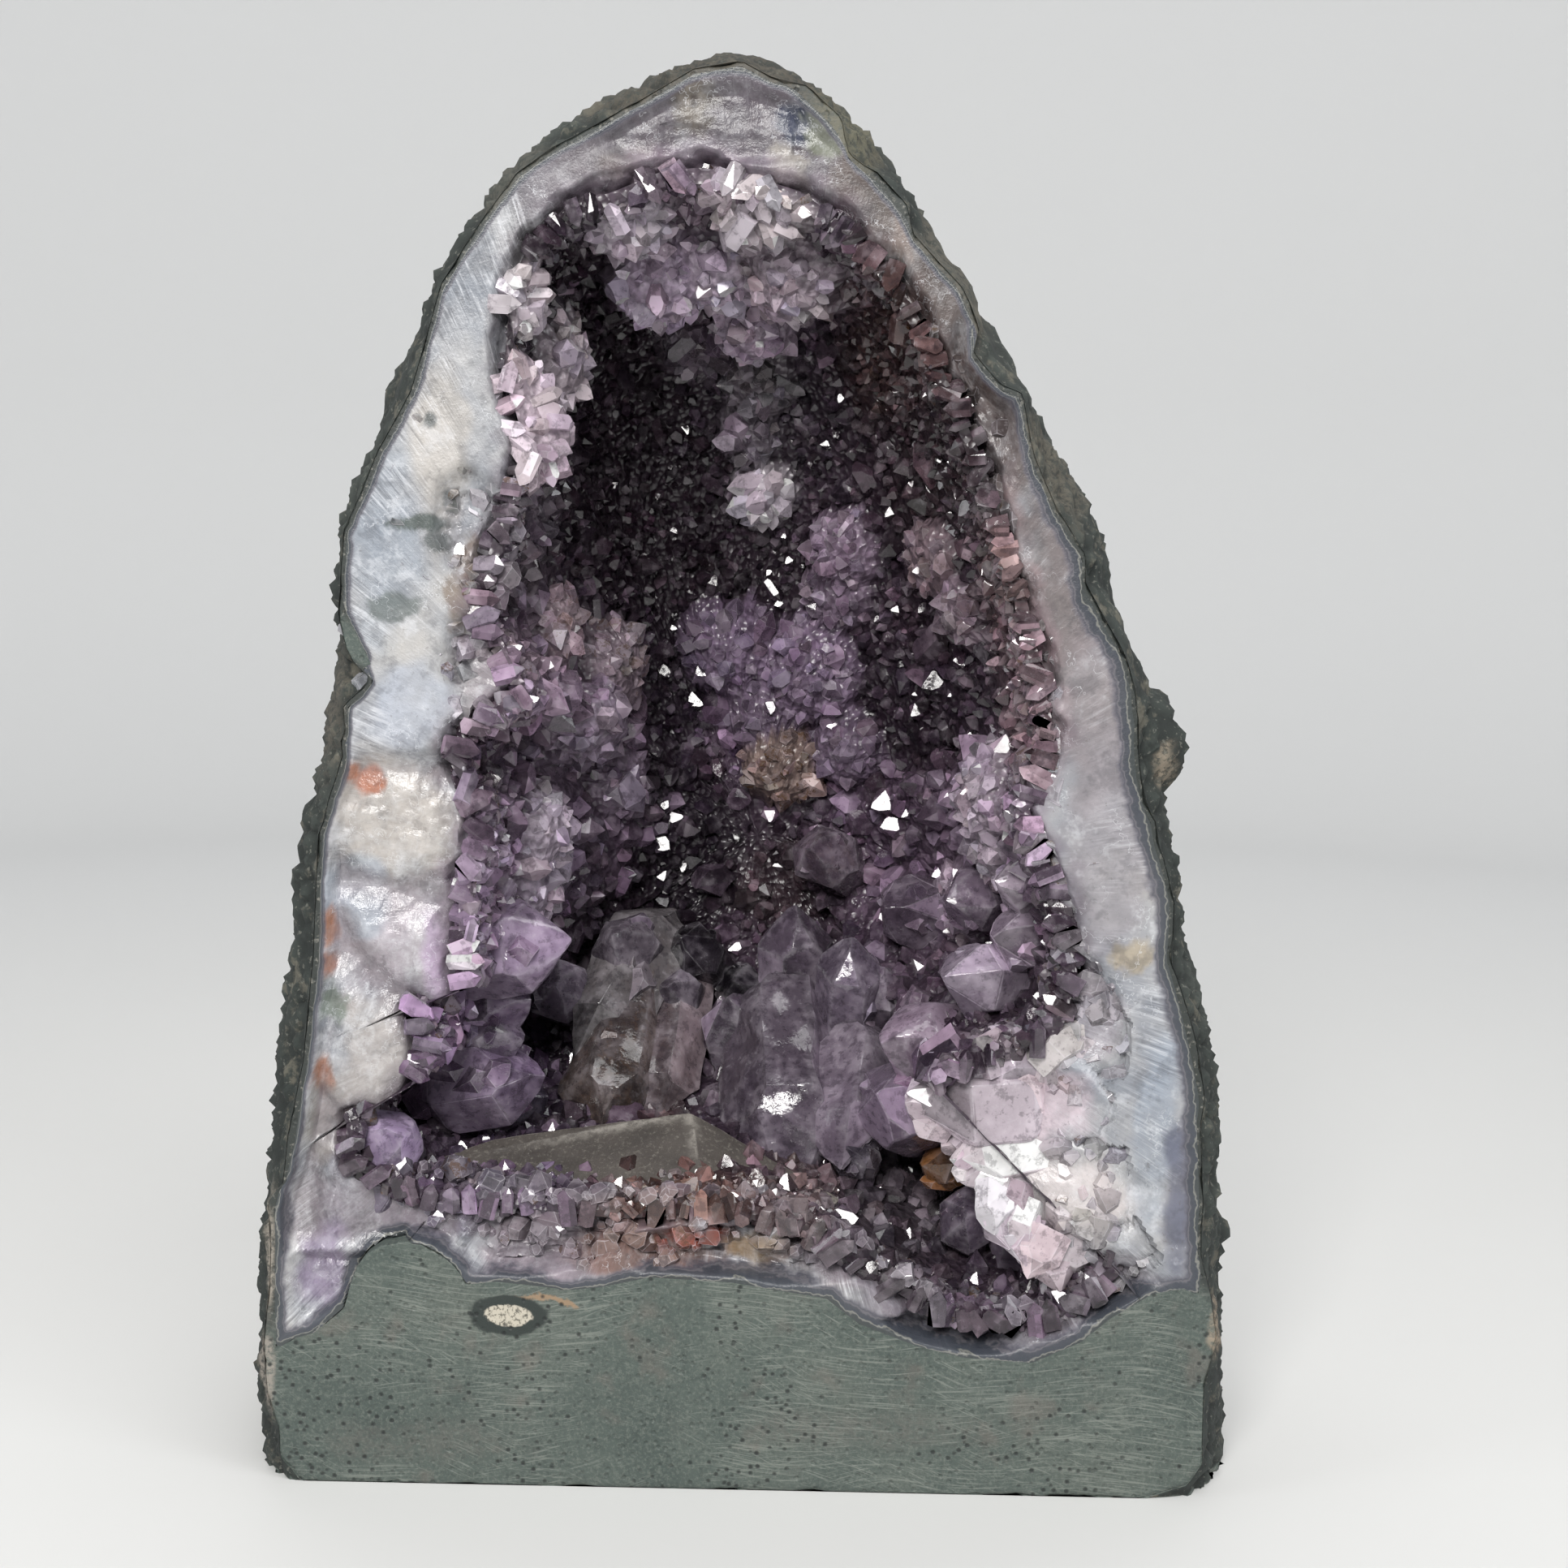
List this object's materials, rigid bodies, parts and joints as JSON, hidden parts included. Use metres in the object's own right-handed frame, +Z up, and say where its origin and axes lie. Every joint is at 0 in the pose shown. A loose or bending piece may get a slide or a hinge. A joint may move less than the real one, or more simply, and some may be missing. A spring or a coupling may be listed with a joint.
{
  "type": "amethyst cathedral geode",
  "caption": "Freestanding cut nodule: a basalt body with a sawn base holds a bowl of agate and quartz whose tall hollow is lined with amethyst points.",
  "frame": {"origin": "middle of the sawn base, on the ground, under the middle of the bounding box", "axes": "+Z up along the height, -Y out of the sawn front face that shows the hollow, +X to the right as seen from the front"},
  "size_m": [0.2795, 0.15, 0.3828],
  "materials": {
    "basalt": "matte",
    "agate_quartz": "satin",
    "amethyst": "polished"
  },
  "bodies": {
    "root": {"basalt_matrix": "basalt", "agate_quartz_band": "agate_quartz", "amethyst_crust": "amethyst"}
  },
  "joints": []
}
